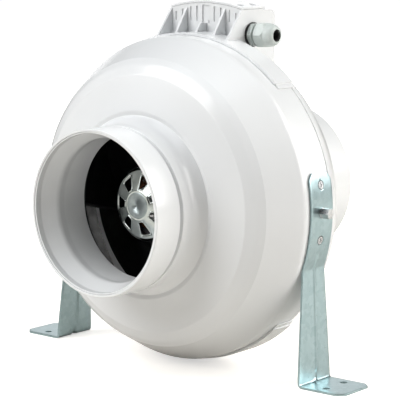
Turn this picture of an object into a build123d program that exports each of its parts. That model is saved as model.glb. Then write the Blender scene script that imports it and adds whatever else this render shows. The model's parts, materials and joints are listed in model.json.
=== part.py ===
"""Inline centrifugal fan for 150 mm round duct, on two sheet-steel feet.

The duct axis runs along Y with the inlet at -Y. Z is up and the feet stand on z = 0.
A depth is a distance behind the inlet rim. A rise is a height above the duct axis.
"""
from math import cos, radians, sin, sqrt
import os

from build123d import *

os.makedirs("parts", exist_ok=True)

# Overall sizes, millimetres
LENGTH = 288.0
AXIS_HEIGHT = 154.0
SPIGOT_RADIUS = 74.5
BAND_RADIUS = 150.0
WALL = 2.5
SEAM_DEPTH = 146.5

# Spigots: a stop step for the duct, and the corner where the bell begins
STEP_DEPTH = 30.5
STEP_END = 38.0
STEP_CUT = 3.2
STEP_LINING = 69.1
OUTLET_BORE = 71.5
REAR_CORNER = 229.0
NOZZLE_END = 60.0
LEAD_IN_RADIUS = 70.6

# Skirt of the rear casing, which laps over the seam above and below the brackets
SKIRT_START = 126.0
SKIRT_END = 151.0
SKIRT_RADIUS = 152.2
SKIRT_GAP = 45.0

# Motor and impeller
IMPELLER_RADIUS = 108.0
BLADE_COUNT = 11
BLADE_THICKNESS = 2.0
EYE_RADIUS = 69.0
ROTOR_RADIUS = 34.0
ROTOR_FRONT = 67.0
ROTOR_BACK = 118.0
CAP_WINDOWS = 7
BOSS_RADIUS = 13.4
BOSS_DEPTH = 58.6
SHAFT_RADIUS = 5.0
SHAFT_FRONT = 60.5
SHAFT_BACK = 143.0
BEARING_DEPTHS = (80.0, 131.0)
BEARING_WIDTH = 8.0
BEARING_RADIUS = 13.0
BALL_COUNT = 8
HUB_RADIUS = 46.0
HUB_FRONT = 150.0
HUB_BACK = 226.0
VANE_COUNT = 8

# Terminal box on top of the rear casing
BOX_HALF = 42.8
BOX_WALL = 2.2
BOX_FRONT = 155.7
BOX_BACK = 205.0
BOX_TOP = 173.0
ROOF_FRONT = 187.0
ROOF_TOP = 172.0
LID_BACK = 190.5
LID_THICKNESS = 1.8
LID_CROWN = 180.5
LID_EDGE = 175.0
LID_HALF = 42.2
GUSSET_PLACES = (-22.8, 22.8)
GROOVE_PLACES = (-35.8, -28.0, -17.9, -10.4, 10.4, 17.9, 28.0, 35.8)
LID_SCREWS = [(x, depth) for x in (-34.5, 34.5) for depth in (163.5, 181.5)]

# Cable gland on the box's +X wall
GLAND_DEPTH = 170.7
GLAND_RISE = 150.0
THREAD_RADIUS = 8.0
CABLE_HOLE = 4.5

# Feet
SHEET = 2.0
STRAP_RADIUS = 150.3
STRAP_TOP_ANGLE = 13.6
STRAP_BEND_ANGLE = -19.5
STRAP_CENTRE = 131.3
STRAP_WIDTH = 31.3
STRAP_HOLES = (9.3, -9.3)
LEG_BOTTOM_X = 148.0
FOOT_TIP = 193.0
FOOT_WIDTH = 46.0
FOOT_CENTRE = 128.5
FOOT_HOLE_X = 170.0
FOOT_HOLE_SPACING = 26.5
FOOT_HOLE_RADIUS = 3.25
BOLT_RADIUS = 2.5

SECTION = Plane.XY.offset(AXIS_HEIGHT)
DUCT_AXIS = Axis((0, 0, AXIS_HEIGHT), (0, -1, 0))


def along(depth):
    """The y coordinate of a depth behind the inlet rim."""
    return depth - LENGTH / 2


def above(rise):
    """The z coordinate of a rise above the duct axis."""
    return rise + AXIS_HEIGHT


def across(depth):
    """A plane square to the duct, x to the right and y up, that faces the outlet."""
    return Plane(origin=(0, along(depth), AXIS_HEIGHT), x_dir=(-1, 0, 0), z_dir=(0, 1, 0))


def radial(angle):
    """A section plane turned about the duct axis, x outwards and y along the duct."""
    turn = radians(angle)
    return Plane(origin=(0, 0, AXIS_HEIGHT), x_dir=(cos(turn), 0, sin(turn)), z_dir=(-sin(turn), 0, cos(turn)))


def outward(angle, radius, depth):
    """A plane that touches a cylinder about the duct axis and faces outwards."""
    turn = radians(angle)
    direction = Vector(cos(turn), 0, sin(turn))
    centre = direction * radius + Vector(0, along(depth), AXIS_HEIGHT)
    return Plane(origin=centre, x_dir=(0, 1, 0), z_dir=direction)


def turned(points, mode=Mode.ADD):
    """Turn a closed outline of (radius, depth) points about the duct axis."""
    with BuildSketch(SECTION) as outline:
        with BuildLine():
            Polyline(*[(radius, along(depth)) for radius, depth in points], close=True)
        make_face()
    revolve(outline.sketch, axis=DUCT_AXIS, mode=mode)


def ring(inner, outer, start, end, mode=Mode.ADD):
    """Turn a rectangle between two radii and two depths about the duct axis."""
    turned([(inner, start), (outer, start), (outer, end), (inner, end)], mode)


def skin(points, radii, thickness=WALL):
    """Turn a wall of even thickness whose outer face follows the rounded outline."""
    with BuildSketch(SECTION) as outline:
        with BuildLine():
            FilletPolyline(*[(radius, along(depth)) for radius, depth in points], radius=radii)
            offset(amount=thickness, side=Side.LEFT, kind=Kind.INTERSECTION)
        make_face()
    revolve(outline.sketch, axis=DUCT_AXIS)


def hollow(points, radii, depth_of_cut):
    """Clear the space inside a rounded outline, stopping short of it by depth_of_cut."""
    with BuildSketch(SECTION) as filled:
        with BuildLine():
            FilletPolyline(*[(radius, along(depth)) for radius, depth in points], radius=radii)
            Polyline((points[-1][0], along(points[-1][1])), (0, along(points[-1][1])),
                     (0, along(points[0][1])), (points[0][0], along(points[0][1])))
        make_face()
        offset(amount=-depth_of_cut, kind=Kind.INTERSECTION, mode=Mode.REPLACE)
    revolve(filled.sketch, axis=DUCT_AXIS, mode=Mode.SUBTRACT)


def sector(inner, outer, start, end, first_angle, arc, mode=Mode.ADD):
    """Turn a rectangle through part of a circle, from first_angle towards +Z."""
    with BuildSketch(radial(first_angle)) as outline:
        with BuildLine():
            Polyline((inner, along(start)), (outer, along(start)), (outer, along(end)), (inner, along(end)), close=True)
        make_face()
    revolve(outline.sketch, axis=DUCT_AXIS, revolution_arc=arc, mode=mode)


def block(x_low, x_high, depth_low, depth_high, rise_low, rise_high, mode=Mode.ADD):
    """A box between two x values, two depths and two rises."""
    with BuildSketch(Plane.XY.offset(above(rise_low))) as base:
        with Locations(((x_low + x_high) / 2, along((depth_low + depth_high) / 2))):
            Rectangle(x_high - x_low, depth_high - depth_low)
    extrude(base.sketch, amount=rise_high - rise_low, mode=mode)


def rod(plane, radius, start, end, mode=Mode.ADD):
    """A round bar along a plane's normal, between two distances from the plane."""
    with BuildSketch(plane.offset(start)) as base:
        Circle(radius)
    extrude(base.sketch, amount=end - start, mode=mode)


def hexagon(plane, across_flats, start, end, mode=Mode.ADD):
    """A hexagonal bar along a plane's normal, between two distances from the plane."""
    with BuildSketch(plane.offset(start)) as base:
        RegularPolygon(across_flats / 2, 6, major_radius=False)
    extrude(base.sketch, amount=end - start, mode=mode)


def bolt_holes(high, low):
    """The holes of the radial bolts and screws, between two distances from the band."""
    for hand in (0, 180):
        for angle in STRAP_HOLES + (0,):
            rod(outward(hand + angle, BAND_RADIUS, STRAP_CENTRE), 2.6, low, high, Mode.SUBTRACT)


def arched(half, crown, bottom, start, end, mode=Mode.ADD):
    """A block under the lid's arch, between two depths, with its crown at a given rise."""
    shoulder = crown - LID_RADIUS + sqrt(LID_RADIUS ** 2 - half ** 2)
    with BuildSketch(across(start)) as front:
        with BuildLine():
            ThreePointArc((-half, shoulder), (0, crown), (half, shoulder))
            Polyline((half, shoulder), (half, bottom), (-half, bottom), (-half, shoulder))
        make_face()
    extrude(front.sketch, amount=end - start, mode=mode)


def gland_turned(points, mode=Mode.ADD):
    """Turn a closed outline of (x, radius) points about the cable gland's axis."""
    with BuildSketch(Plane(origin=GLAND_CENTRE, x_dir=(1, 0, 0), z_dir=(0, 0, 1))) as outline:
        with BuildLine():
            Polyline(*points, close=True)
        make_face()
    revolve(outline.sketch, axis=Axis(GLAND_CENTRE, (1, 0, 0)), mode=mode)


def finish(builder, name):
    """Label a piece and write its file."""
    builder.part.label = name
    export_step(builder.part, f"parts/{name}.step")


LID_RADIUS = (LID_HALF ** 2 + (LID_CROWN - LID_EDGE) ** 2) / (2 * (LID_CROWN - LID_EDGE))
GLAND_CENTRE = (0, along(GLAND_DEPTH), above(GLAND_RISE))
GLAND_PLANE = Plane(origin=GLAND_CENTRE, x_dir=(0, 1, 0), z_dir=(1, 0, 0))
LEAD_PLANE = Plane(origin=(-32, along(170), above(0)))
LEAD_HOLE = Plane(origin=(-32, along(0), above(8)), x_dir=(1, 0, 0), z_dir=(0, 1, 0))

# Outlines of the two shells as (radius, depth), from the spigot's rim to the seam
FRONT_OUTLINE = [
    (SPIGOT_RADIUS, 0),
    (SPIGOT_RADIUS, 50.3),
    (81.5, 57.5),
    (117.5, 66.0),
    (126.5, 71.5),
    (132.0, 77.0),
    (BAND_RADIUS, 110.0),
    (BAND_RADIUS, SEAM_DEPTH),
]
FRONT_RADII = [23.0, 0.6, 4.0, 20.0, 1.2, 12.0]
REAR_OUTLINE = [
    (BAND_RADIUS, SEAM_DEPTH + 0.6),
    (BAND_RADIUS, 153.0),
    (139.5, 171.0),
    (114.0, 206.0),
    (SPIGOT_RADIUS, REAR_CORNER),
    (SPIGOT_RADIUS, LENGTH),
]
REAR_RADII = [20.0, 30.0, 22.0, 11.0]

# ---------------------------------------------------------------- casing

with BuildPart() as front_casing:
    skin(FRONT_OUTLINE, FRONT_RADII)
    turned([(SPIGOT_RADIUS - 2, 25.0), (STEP_LINING, 29.0), (STEP_LINING, 38.0), (SPIGOT_RADIUS - 2, 42.0)])
    turned([(SPIGOT_RADIUS + 1, STEP_DEPTH), (SPIGOT_RADIUS - STEP_CUT, STEP_DEPTH),
            (SPIGOT_RADIUS, STEP_END), (SPIGOT_RADIUS + 1, STEP_END)], Mode.SUBTRACT)
    bolt_holes(2, -4)
finish(front_casing, "front_casing")

with BuildPart() as rear_casing:
    # Box walls, gussets and screw bosses, trimmed to stand on the shell
    block(-BOX_HALF, BOX_HALF, ROOF_FRONT, BOX_BACK, 60, ROOF_TOP)
    roof_edge = rear_casing.edges().filter_by(Axis.X).sort_by(Axis.Z)[-2:].sort_by(Axis.Y)[-1]
    fillet(roof_edge, 6)
    block(-BOX_HALF, BOX_HALF, BOX_FRONT, ROOF_FRONT, 60, BOX_TOP)
    block(-BOX_HALF + BOX_WALL, BOX_HALF - BOX_WALL, BOX_FRONT + BOX_WALL, BOX_BACK - BOX_WALL,
          60, ROOF_TOP - BOX_WALL, Mode.SUBTRACT)
    block(-BOX_HALF + BOX_WALL, BOX_HALF - BOX_WALL, BOX_FRONT + BOX_WALL, ROOF_FRONT,
          ROOF_TOP - 4, BOX_TOP, Mode.SUBTRACT)
    arched(BOX_HALF, LID_CROWN - LID_THICKNESS - 0.3, 140, BOX_FRONT, BOX_FRONT + BOX_WALL)
    for place in GUSSET_PLACES:
        with BuildSketch(Plane.YZ.offset(place)) as gusset:
            with BuildLine():
                Polyline((along(BOX_FRONT + 1), above(173.5)), (along(BOX_FRONT - 0.6), above(173.5)),
                         (along(138.5), above(149)), (along(138.5), above(147)),
                         (along(BOX_FRONT + 1), above(147)), close=True)
            make_face()
        extrude(gusset.sketch, amount=1.1, both=True)
    for place in (-BOX_HALF + 1.1, BOX_HALF - 1.1):
        with BuildSketch(Plane.YZ.offset(place)) as cheek:
            with BuildLine():
                Polyline((along(BOX_FRONT + 1), above(BOX_TOP)), (along(BOX_FRONT), above(BOX_TOP)),
                         (along(134), above(146)), (along(134), above(142.5)),
                         (along(BOX_FRONT + 1), above(142.5)), close=True)
            make_face()
        extrude(cheek.sketch, amount=1.1, both=True)
    with BuildSketch(Plane.YZ) as middle_gusset:
        with BuildLine():
            Polyline((along(BOX_FRONT + 1), above(160)), (along(147.5), above(160)),
                     (along(140.5), above(151)), (along(140.5), above(149)),
                     (along(BOX_FRONT + 1), above(149)), close=True)
        make_face()
    extrude(middle_gusset.sketch, amount=1.1, both=True)
    ledge_inner = BOX_HALF - 2 * BOX_WALL
    block(-BOX_HALF + 1, BOX_HALF - 1, BOX_FRONT + 1, ROOF_FRONT + 1, ROOF_TOP - 4, ROOF_TOP - 1.4)
    block(-ledge_inner, ledge_inner, BOX_FRONT + 2 * BOX_WALL, ROOF_FRONT - BOX_WALL, ROOF_TOP - 5, ROOF_TOP,
          Mode.SUBTRACT)
    block(-26, 20, BOX_FRONT + 1, 176, 149.8, 152)
    for place in (-21, 15):
        block(place - 1.1, place + 1.1, BOX_FRONT + 1, 176, 100, 150)
    for x, depth in LID_SCREWS:
        rod(Plane(origin=(x, along(depth), above(0))), 4.2, 162.8, ROOF_TOP - 1.4)
        side = x / abs(x)
        block(min(x, side * 41), max(x, side * 41), depth - 4.2, depth + 4.2, 162.8, ROOF_TOP - 1.4)
    hollow(REAR_OUTLINE, REAR_RADII, 1.2)
    # The shell itself, the tongue inside the front casing and the skirt over it
    skin(REAR_OUTLINE, REAR_RADII)
    turned([(SPIGOT_RADIUS - 2, LENGTH - 42.0), (STEP_LINING, LENGTH - 38.0), (STEP_LINING, LENGTH - 30.0),
            (OUTLET_BORE, LENGTH - 28.0), (OUTLET_BORE, LENGTH), (SPIGOT_RADIUS - 2, LENGTH)])
    turned([(SPIGOT_RADIUS + 1, LENGTH - STEP_END), (SPIGOT_RADIUS, LENGTH - STEP_END),
            (SPIGOT_RADIUS - STEP_CUT, LENGTH - STEP_DEPTH), (SPIGOT_RADIUS + 1, LENGTH - STEP_DEPTH)], Mode.SUBTRACT)
    ring(144.8, 148.5, SEAM_DEPTH + 0.6, 150.0)
    for start in (SKIRT_GAP, 180 + SKIRT_GAP):
        arc = 180 - 2 * SKIRT_GAP
        sector(BAND_RADIUS + 0.2, SKIRT_RADIUS, SKIRT_START, SKIRT_END, start + 2, arc - 4)
        sector(BAND_RADIUS + 0.2, SKIRT_RADIUS - 1, SKIRT_START + 1, SKIRT_END, start, arc)
        sector(BAND_RADIUS - 1, SKIRT_RADIUS - 1, SEAM_DEPTH + 0.6, SKIRT_END, start, arc)
    # Lap clearance under the gussets, then the details of the box
    ring(140, BAND_RADIUS + 0.2, 120, SEAM_DEPTH + 0.6, Mode.SUBTRACT)
    ring(144.8, 147.2, 124.0, 148.0)
    for place in GROOVE_PLACES:
        top = LID_CROWN - 4.6 - (place / 14.5) ** 2
        block(place - 1, place + 1, BOX_FRONT - 1, BOX_FRONT + 1.2, 161.5, top, Mode.SUBTRACT)
    block(-4.2, 4.2, BOX_FRONT - 1, BOX_FRONT + 1.3, 160, 176.5, Mode.SUBTRACT)
    block(2.2, 4.2, BOX_FRONT - 1, BOX_FRONT + BOX_WALL + 1, 160, 162.2, Mode.SUBTRACT)
    rod(GLAND_PLANE, THREAD_RADIUS + 0.25, BOX_HALF - 6, BOX_HALF + 2, Mode.SUBTRACT)
    for x, depth in LID_SCREWS:
        rod(Plane(origin=(x, along(depth), above(0))), 1.8, 162, BOX_TOP, Mode.SUBTRACT)
    rod(LEAD_PLANE, 5.0, 120, 145, Mode.SUBTRACT)
    bolt_holes(0, -8)
finish(rear_casing, "rear_casing")

with BuildPart() as casing_seal:
    ring(147.8, 149.4, SEAM_DEPTH, SEAM_DEPTH + 0.6)
finish(casing_seal, "casing_seal")

with BuildPart() as inlet_nozzle:
    turned([(71.9, 0.8), (LEAD_IN_RADIUS, 0.8), (LEAD_IN_RADIUS, 7), (64.1, 23), (65.4, 32), (66.4, NOZZLE_END),
            (67.8, NOZZLE_END), (67.0, 32), (66.2, 24.5), (71.9, 12.5)])
finish(inlet_nozzle, "inlet_nozzle")

# ---------------------------------------------------------------- motor support

with BuildPart() as motor_support:
    for turn in range(VANE_COUNT):
        with BuildSketch(across(152)) as vane:
            with Locations(Rotation(0, 0, 360 / VANE_COUNT * (turn + 0.5))):
                with BuildLine():
                    ThreePointArc((HUB_RADIUS - 2, 0), (95, 16), (143, 58))
                    offset(amount=1.1)
                make_face()
        extrude(vane.sketch, amount=44)
    turned([(44, 150), (141.6, 150), (141.6, 159), (136, 169.2), (110.6, 204.4), (60, 206), (44, 206)],
           Mode.INTERSECT)
    ring(141.0, 144.4, 126.0, 152.0)
    bolt_holes(0, -12)
    with BuildSketch(SECTION) as hub:
        with BuildLine():
            FilletPolyline((12.5, along(HUB_FRONT)), (HUB_RADIUS, along(HUB_FRONT)), (HUB_RADIUS, along(HUB_BACK)),
                           (0, along(HUB_BACK)), radius=[2.0, 28.0])
            offset(amount=WALL, side=Side.LEFT, kind=Kind.INTERSECTION)
        make_face()
    revolve(hub.sketch, axis=DUCT_AXIS)
    rod(LEAD_PLANE, 3.0, 20, 46, Mode.SUBTRACT)
    rod(LEAD_HOLE, 3.0, 140, 156, Mode.SUBTRACT)
    with Locations(*[across(HUB_FRONT).offset(-1)]):
        with PolarLocations(36, 4, start_angle=45):
            Cylinder(2.1, 6, align=(Align.CENTER, Align.CENTER, Align.MIN), mode=Mode.SUBTRACT)
finish(motor_support, "motor_support")

# ---------------------------------------------------------------- motor, fixed half

with BuildPart() as motor_flange:
    turned([(BEARING_RADIUS, 122), (BEARING_RADIUS, 136), (9, 136), (9, 140), (12.2, 149.9), (42, 149.9),
            (42, 146), (20, 141), (20, 122)])
    ring(BEARING_RADIUS, 15.5, 74, 122)
    rod(LEAD_HOLE, 3.0, 138, 152, Mode.SUBTRACT)
    with Locations(across(140)):
        with PolarLocations(36, 4, start_angle=45):
            Cylinder(2.1, 12, align=(Align.CENTER, Align.CENTER, Align.MIN), mode=Mode.SUBTRACT)
finish(motor_flange, "motor_flange")

with BuildPart() as stator_core:
    ring(15.5, 27.6, 84, 108)
    with Locations(across(83)):
        with PolarLocations(24.5, 12):
            Cylinder(2.2, 26, align=(Align.CENTER, Align.CENTER, Align.MIN), mode=Mode.SUBTRACT)
finish(stator_core, "stator_core")

with BuildPart() as stator_windings:
    for start, end in ((76.5, 83.8), (108.2, 115.5)):
        with BuildSketch(SECTION) as coil_head:
            with Locations((21, along((start + end) / 2))):
                RectangleRounded(9, end - start, 2.5)
        revolve(coil_head.sketch, axis=DUCT_AXIS)
finish(stator_windings, "stator_windings")

with BuildPart() as motor_screws:
    for turn in range(4):
        angle = radians(45 + 90 * turn)
        plane = Plane(origin=(36 * cos(angle), 0, above(36 * sin(angle))), x_dir=(1, 0, 0), z_dir=(0, -1, 0))
        rod(plane, 2.0, -along(153.5), -along(141.5))
        rod(plane, 3.6, -along(141.5), -along(139))
finish(motor_screws, "motor_screws")

BEARING_OUTER_BORE = 10.8
BEARING_INNER_SIZE = 7.2
with BuildPart() as bearing_outer_races:
    for depth in BEARING_DEPTHS:
        ring(BEARING_OUTER_BORE, BEARING_RADIUS - 0.02, depth - BEARING_WIDTH / 2, depth + BEARING_WIDTH / 2)
finish(bearing_outer_races, "bearing_outer_races")

with BuildPart() as bearing_inner_races:
    for depth in BEARING_DEPTHS:
        ring(SHAFT_RADIUS, BEARING_INNER_SIZE, depth - BEARING_WIDTH / 2, depth + BEARING_WIDTH / 2)
finish(bearing_inner_races, "bearing_inner_races")

with BuildPart() as bearing_balls:
    for depth in BEARING_DEPTHS:
        with Locations(across(depth)):
            with PolarLocations((BEARING_INNER_SIZE + BEARING_OUTER_BORE) / 2, BALL_COUNT):
                Sphere(1.72)
finish(bearing_balls, "bearing_balls")

# ---------------------------------------------------------------- motor, turning half

with BuildPart() as shaft:
    ring(0, SHAFT_RADIUS - 0.01, SHAFT_FRONT, SHAFT_BACK)
    shaft_ends = shaft.edges().filter_by(GeomType.CIRCLE).sort_by(Axis.Y)
    chamfer([shaft_ends[0], shaft_ends[-1]], 0.6)
    ring(SHAFT_RADIUS - 0.6, SHAFT_RADIUS + 1, 136.4, 137.5, Mode.SUBTRACT)
finish(shaft, "shaft")

with BuildPart() as circlip:
    ring(SHAFT_RADIUS - 0.5, 7.4, 136.5, 137.4)
    block(-1.4, 1.4, 135, 139, 0, 12, Mode.SUBTRACT)
finish(circlip, "circlip")

with BuildPart() as rotor_cup:
    ring(ROTOR_RADIUS - 2, ROTOR_RADIUS, 72, ROTOR_BACK)
finish(rotor_cup, "rotor_cup")

with BuildPart() as rotor_core:
    ring(28.2, ROTOR_RADIUS - 2, 84, 108)
finish(rotor_core, "rotor_core")

with BuildPart() as rotor_end_cap:
    with BuildSketch(SECTION) as cap_wall:
        with BuildLine():
            FilletPolyline((SHAFT_RADIUS, along(BOSS_DEPTH)), (BOSS_RADIUS, along(BOSS_DEPTH)),
                           (ROTOR_RADIUS - 3, along(ROTOR_FRONT - 1.5)), (ROTOR_RADIUS, along(ROTOR_FRONT + 1.5)),
                           (ROTOR_RADIUS, along(72)), radius=[1.2, 3.0, 2.0])
            offset(amount=1.2, side=Side.LEFT, kind=Kind.INTERSECTION)
        make_face()
    revolve(cap_wall.sketch, axis=DUCT_AXIS)
    ring(SHAFT_RADIUS, 8, BOSS_DEPTH + 1, 75)
    with BuildSketch(across(ROTOR_FRONT - 3)) as windows:
        for turn in range(CAP_WINDOWS):
            SlotArc(CenterArc((0, 0), 23.2, 360 / CAP_WINDOWS * turn + 56.5, 15), 9.6)
    extrude(windows.sketch, amount=8, both=True, mode=Mode.SUBTRACT)
finish(rotor_end_cap, "rotor_end_cap")

with BuildPart() as boss_disc:
    ring(0, BOSS_RADIUS - 1.4, BOSS_DEPTH - 0.5, BOSS_DEPTH)
    chamfer(boss_disc.edges().sort_by(Axis.Y)[0], 0.2)
finish(boss_disc, "boss_disc")

# ---------------------------------------------------------------- impeller

with BuildPart() as impeller_hub:
    blade_space = [(69.3, 64.4), (82, 78.3), (106.5, 85.3), (106.5, 122.4), (75, 120.4), (50, 116), (58, 96)]
    for turn in range(BLADE_COUNT):
        with BuildSketch(across(58)) as blade:
            with Locations(Rotation(0, 0, 360 / BLADE_COUNT * turn)):
                with BuildLine():
                    ThreePointArc((57, -14), (84, 10), (97, 50))
                    offset(amount=BLADE_THICKNESS / 2)
                make_face()
        extrude(blade.sketch, amount=70)
    turned(blade_space, Mode.INTERSECT)
    with BuildSketch(SECTION) as plate:
        with BuildLine():
            FilletPolyline((ROTOR_RADIUS + 0.1, along(80)), (ROTOR_RADIUS + 4, along(80)),
                           (ROTOR_RADIUS + 9, along(112)), (70, along(119)), (IMPELLER_RADIUS, along(121.5)),
                           (IMPELLER_RADIUS, along(124)), (66, along(122)), (ROTOR_RADIUS + 0.1, along(118)),
                           radius=[2.0, 16.0, 30.0, 1.0, 1.0, 30.0], close=False)
            Line((ROTOR_RADIUS + 0.1, along(118)), (ROTOR_RADIUS + 0.1, along(80)))
        make_face()
    revolve(plate.sketch, axis=DUCT_AXIS)
finish(impeller_hub, "impeller_hub")

with BuildPart() as impeller_shroud:
    with BuildSketch(SECTION) as shroud_wall:
        with BuildLine():
            FilletPolyline((EYE_RADIUS, along(57.2)), (EYE_RADIUS, along(64)), (82, along(78)),
                           (IMPELLER_RADIUS, along(85.4)), radius=[12.0, 30.0])
            offset(amount=1.8, side=Side.RIGHT, kind=Kind.INTERSECTION)
        make_face()
    revolve(shroud_wall.sketch, axis=DUCT_AXIS)
finish(impeller_shroud, "impeller_shroud")

# ---------------------------------------------------------------- terminal box

with BuildPart() as box_lid:
    lip_bottom = ROOF_TOP + 0.3
    arched(LID_HALF, LID_CROWN, BOX_TOP + 0.3, BOX_FRONT, LID_BACK)
    arched(LID_HALF - 0.6, LID_CROWN - 1, lip_bottom, LID_BACK - LID_THICKNESS, LID_BACK)
    fillet(box_lid.edges().filter_by(GeomType.CIRCLE).sort_by(Axis.Y)[-1], 2.5)
    arched(LID_HALF + 1, LID_CROWN - LID_THICKNESS, 160, BOX_FRONT - 1, LID_BACK - LID_THICKNESS, Mode.SUBTRACT)
    arched(39.9, LID_CROWN - 1.5, lip_bottom, BOX_FRONT + 2.7, BOX_FRONT + 4.2)
    arched(39.9, LID_CROWN - 1.5, lip_bottom, ROOF_FRONT - 2.2, ROOF_FRONT - 0.7)
    for hand in (-1, 1):
        block(min(hand * 38.4, hand * 39.9), max(hand * 38.4, hand * 39.9), BOX_FRONT + 2.7, ROOF_FRONT - 0.7,
              lip_bottom, 174.6)
    for x, depth in LID_SCREWS:
        plane = Plane(origin=(x, along(depth), above(0)))
        rod(plane, 4.2, ROOF_TOP + 0.7, 175.6)
        rod(plane, 3.6, 174.4, LID_CROWN, Mode.SUBTRACT)
        rod(plane, 2.0, ROOF_TOP, LID_CROWN, Mode.SUBTRACT)
finish(box_lid, "box_lid")

with BuildPart() as lid_screws:
    for x, depth in LID_SCREWS:
        plane = Plane(origin=(x, along(depth), above(0)))
        rod(plane, 1.74, 163.4, 174.5)
        rod(plane, 3.3, 174.45, 176.2)
        with BuildSketch(plane.offset(175.2)) as cross:
            Rectangle(3.6, 0.7)
            Rectangle(0.7, 3.6)
        extrude(cross.sketch, amount=2, mode=Mode.SUBTRACT)
finish(lid_screws, "lid_screws")

with BuildPart() as lid_gasket:
    block(-40.5, 40.5, BOX_FRONT + 2.3, ROOF_FRONT - 0.1, ROOF_TOP - 1.4, ROOF_TOP)
    block(-38.5, 38.5, BOX_FRONT + 4.4, ROOF_FRONT - 2.2, ROOF_TOP - 2, ROOF_TOP + 1, Mode.SUBTRACT)
finish(lid_gasket, "lid_gasket")

TERMINAL_PITCH = 9.6
with BuildPart() as terminal_block:
    block(-24, 14.4, 161.5, 174, 152, 166)
    fillet(terminal_block.edges().filter_by(Axis.Y).sort_by(Axis.Z)[-2:], 1.0)
    for place in range(4):
        x = -24 + TERMINAL_PITCH * (place + 0.5)
        plane = Plane(origin=(x, along(167.7), above(0)))
        rod(plane, 2.6, 158, 167, Mode.SUBTRACT)
        for depth in (161, 171):
            block(x - 2, x + 2, depth, depth + 3.6, 154, 158, Mode.SUBTRACT)
finish(terminal_block, "terminal_block")

with BuildPart() as terminal_screws:
    for place in range(4):
        x = -24 + TERMINAL_PITCH * (place + 0.5)
        plane = Plane(origin=(x, along(167.7), above(0)))
        rod(plane, 2.4, 158.1, 163)
        block(x - 2.5, x + 2.5, 167.4, 168.0, 162, 164, Mode.SUBTRACT)
finish(terminal_screws, "terminal_screws")

CAPACITOR_DEPTH = 188.2
CAPACITOR_RISE = 153.5
CAPACITOR_RADIUS = 11.0
with BuildPart() as capacitor:
    plane = Plane(origin=(0, along(CAPACITOR_DEPTH), above(CAPACITOR_RISE)), x_dir=(0, 1, 0), z_dir=(1, 0, 0))
    rod(plane, CAPACITOR_RADIUS, -24, 22)
    fillet(capacitor.edges().filter_by(GeomType.CIRCLE), 1.5)
    rod(plane, 3.0, 22, 26)
finish(capacitor, "capacitor")

with BuildPart() as capacitor_clip:
    rod(plane, CAPACITOR_RADIUS + 1.2, -6, 6)
    block(-6, 6, CAPACITOR_DEPTH, BOX_BACK - BOX_WALL - 0.1, CAPACITOR_RISE - 1, CAPACITOR_RISE + 1)
    rod(plane, CAPACITOR_RADIUS + 0.1, -10, 10, Mode.SUBTRACT)
finish(capacitor_clip, "capacitor_clip")

with BuildPart() as lead_grommet:
    rod(LEAD_PLANE, 4.8, 128, 145)
    rod(LEAD_PLANE, 6.6, 142, 145)
    rod(LEAD_PLANE, 2.6, 120, 150, Mode.SUBTRACT)
finish(lead_grommet, "lead_grommet")

with BuildPart() as motor_lead:
    with BuildLine() as lead_route:
        FilletPolyline((-32, along(138), above(8)), (-32, along(170), above(8)), (-32, along(170), above(151)),
                       radius=[14.0])
    with BuildSketch(Plane(origin=lead_route.line @ 0, z_dir=lead_route.line % 0)) as lead_section:
        Circle(2.5)
    sweep(lead_section.sketch, path=lead_route.line)
finish(motor_lead, "motor_lead")

# ---------------------------------------------------------------- cable gland

with BuildPart() as gland_washer:
    gland_turned([(BOX_HALF, 8.3), (BOX_HALF, 11.2), (BOX_HALF + 1.8, 11.2), (BOX_HALF + 1.8, 8.3)])
finish(gland_washer, "gland_washer")

with BuildPart() as gland_body:
    hexagon(GLAND_PLANE, 20, BOX_HALF + 1.8, BOX_HALF + 6.8)
    gland_turned([(BOX_HALF + 1.8, 0), (BOX_HALF + 1.8, 10.2), (BOX_HALF + 2.8, 11.4), (BOX_HALF + 5.8, 11.4),
                  (BOX_HALF + 6.8, 10.2), (BOX_HALF + 6.8, 0)], Mode.INTERSECT)
    rod(GLAND_PLANE, THREAD_RADIUS, BOX_HALF - 9, BOX_HALF + 2)
    rod(GLAND_PLANE, 7.7, BOX_HALF + 6, BOX_HALF + 17)
    rod(GLAND_PLANE, 5.6, BOX_HALF - 10, BOX_HALF + 18, Mode.SUBTRACT)
finish(gland_body, "gland_body")

with BuildPart() as gland_locknut:
    hexagon(GLAND_PLANE, 20, BOX_HALF - 7.2, BOX_HALF - BOX_WALL)
    rod(GLAND_PLANE, THREAD_RADIUS + 0.1, BOX_HALF - 8, BOX_HALF, Mode.SUBTRACT)
finish(gland_locknut, "gland_locknut")

with BuildPart() as gland_seal:
    gland_turned([(BOX_HALF + 17.3, CABLE_HOLE), (BOX_HALF + 17.3, 7.4), (BOX_HALF + 22, 7.2),
                  (BOX_HALF + 27.4, 5.3), (BOX_HALF + 27.4, CABLE_HOLE)])
finish(gland_seal, "gland_seal")

with BuildPart() as gland_nut:
    hexagon(GLAND_PLANE, 21.4, BOX_HALF + 9, BOX_HALF + 28.7)
    gland_turned([(BOX_HALF + 9, 0), (BOX_HALF + 9, 10.8), (BOX_HALF + 10.4, 12.3), (BOX_HALF + 17.5, 12.3),
                  (BOX_HALF + 19.6, 10.7), (BOX_HALF + 23, 10.4), (BOX_HALF + 25.8, 9.4), (BOX_HALF + 27.6, 8.0),
                  (BOX_HALF + 28.6, 6.4), (BOX_HALF + 28.6, 0)], Mode.INTERSECT)
    gland_turned([(BOX_HALF + 8, 0), (BOX_HALF + 8, 7.8), (BOX_HALF + 22.2, 7.8), (BOX_HALF + 29, 5.6),
                  (BOX_HALF + 29, 0)], Mode.SUBTRACT)
finish(gland_nut, "gland_nut")

# ---------------------------------------------------------------- feet


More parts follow.
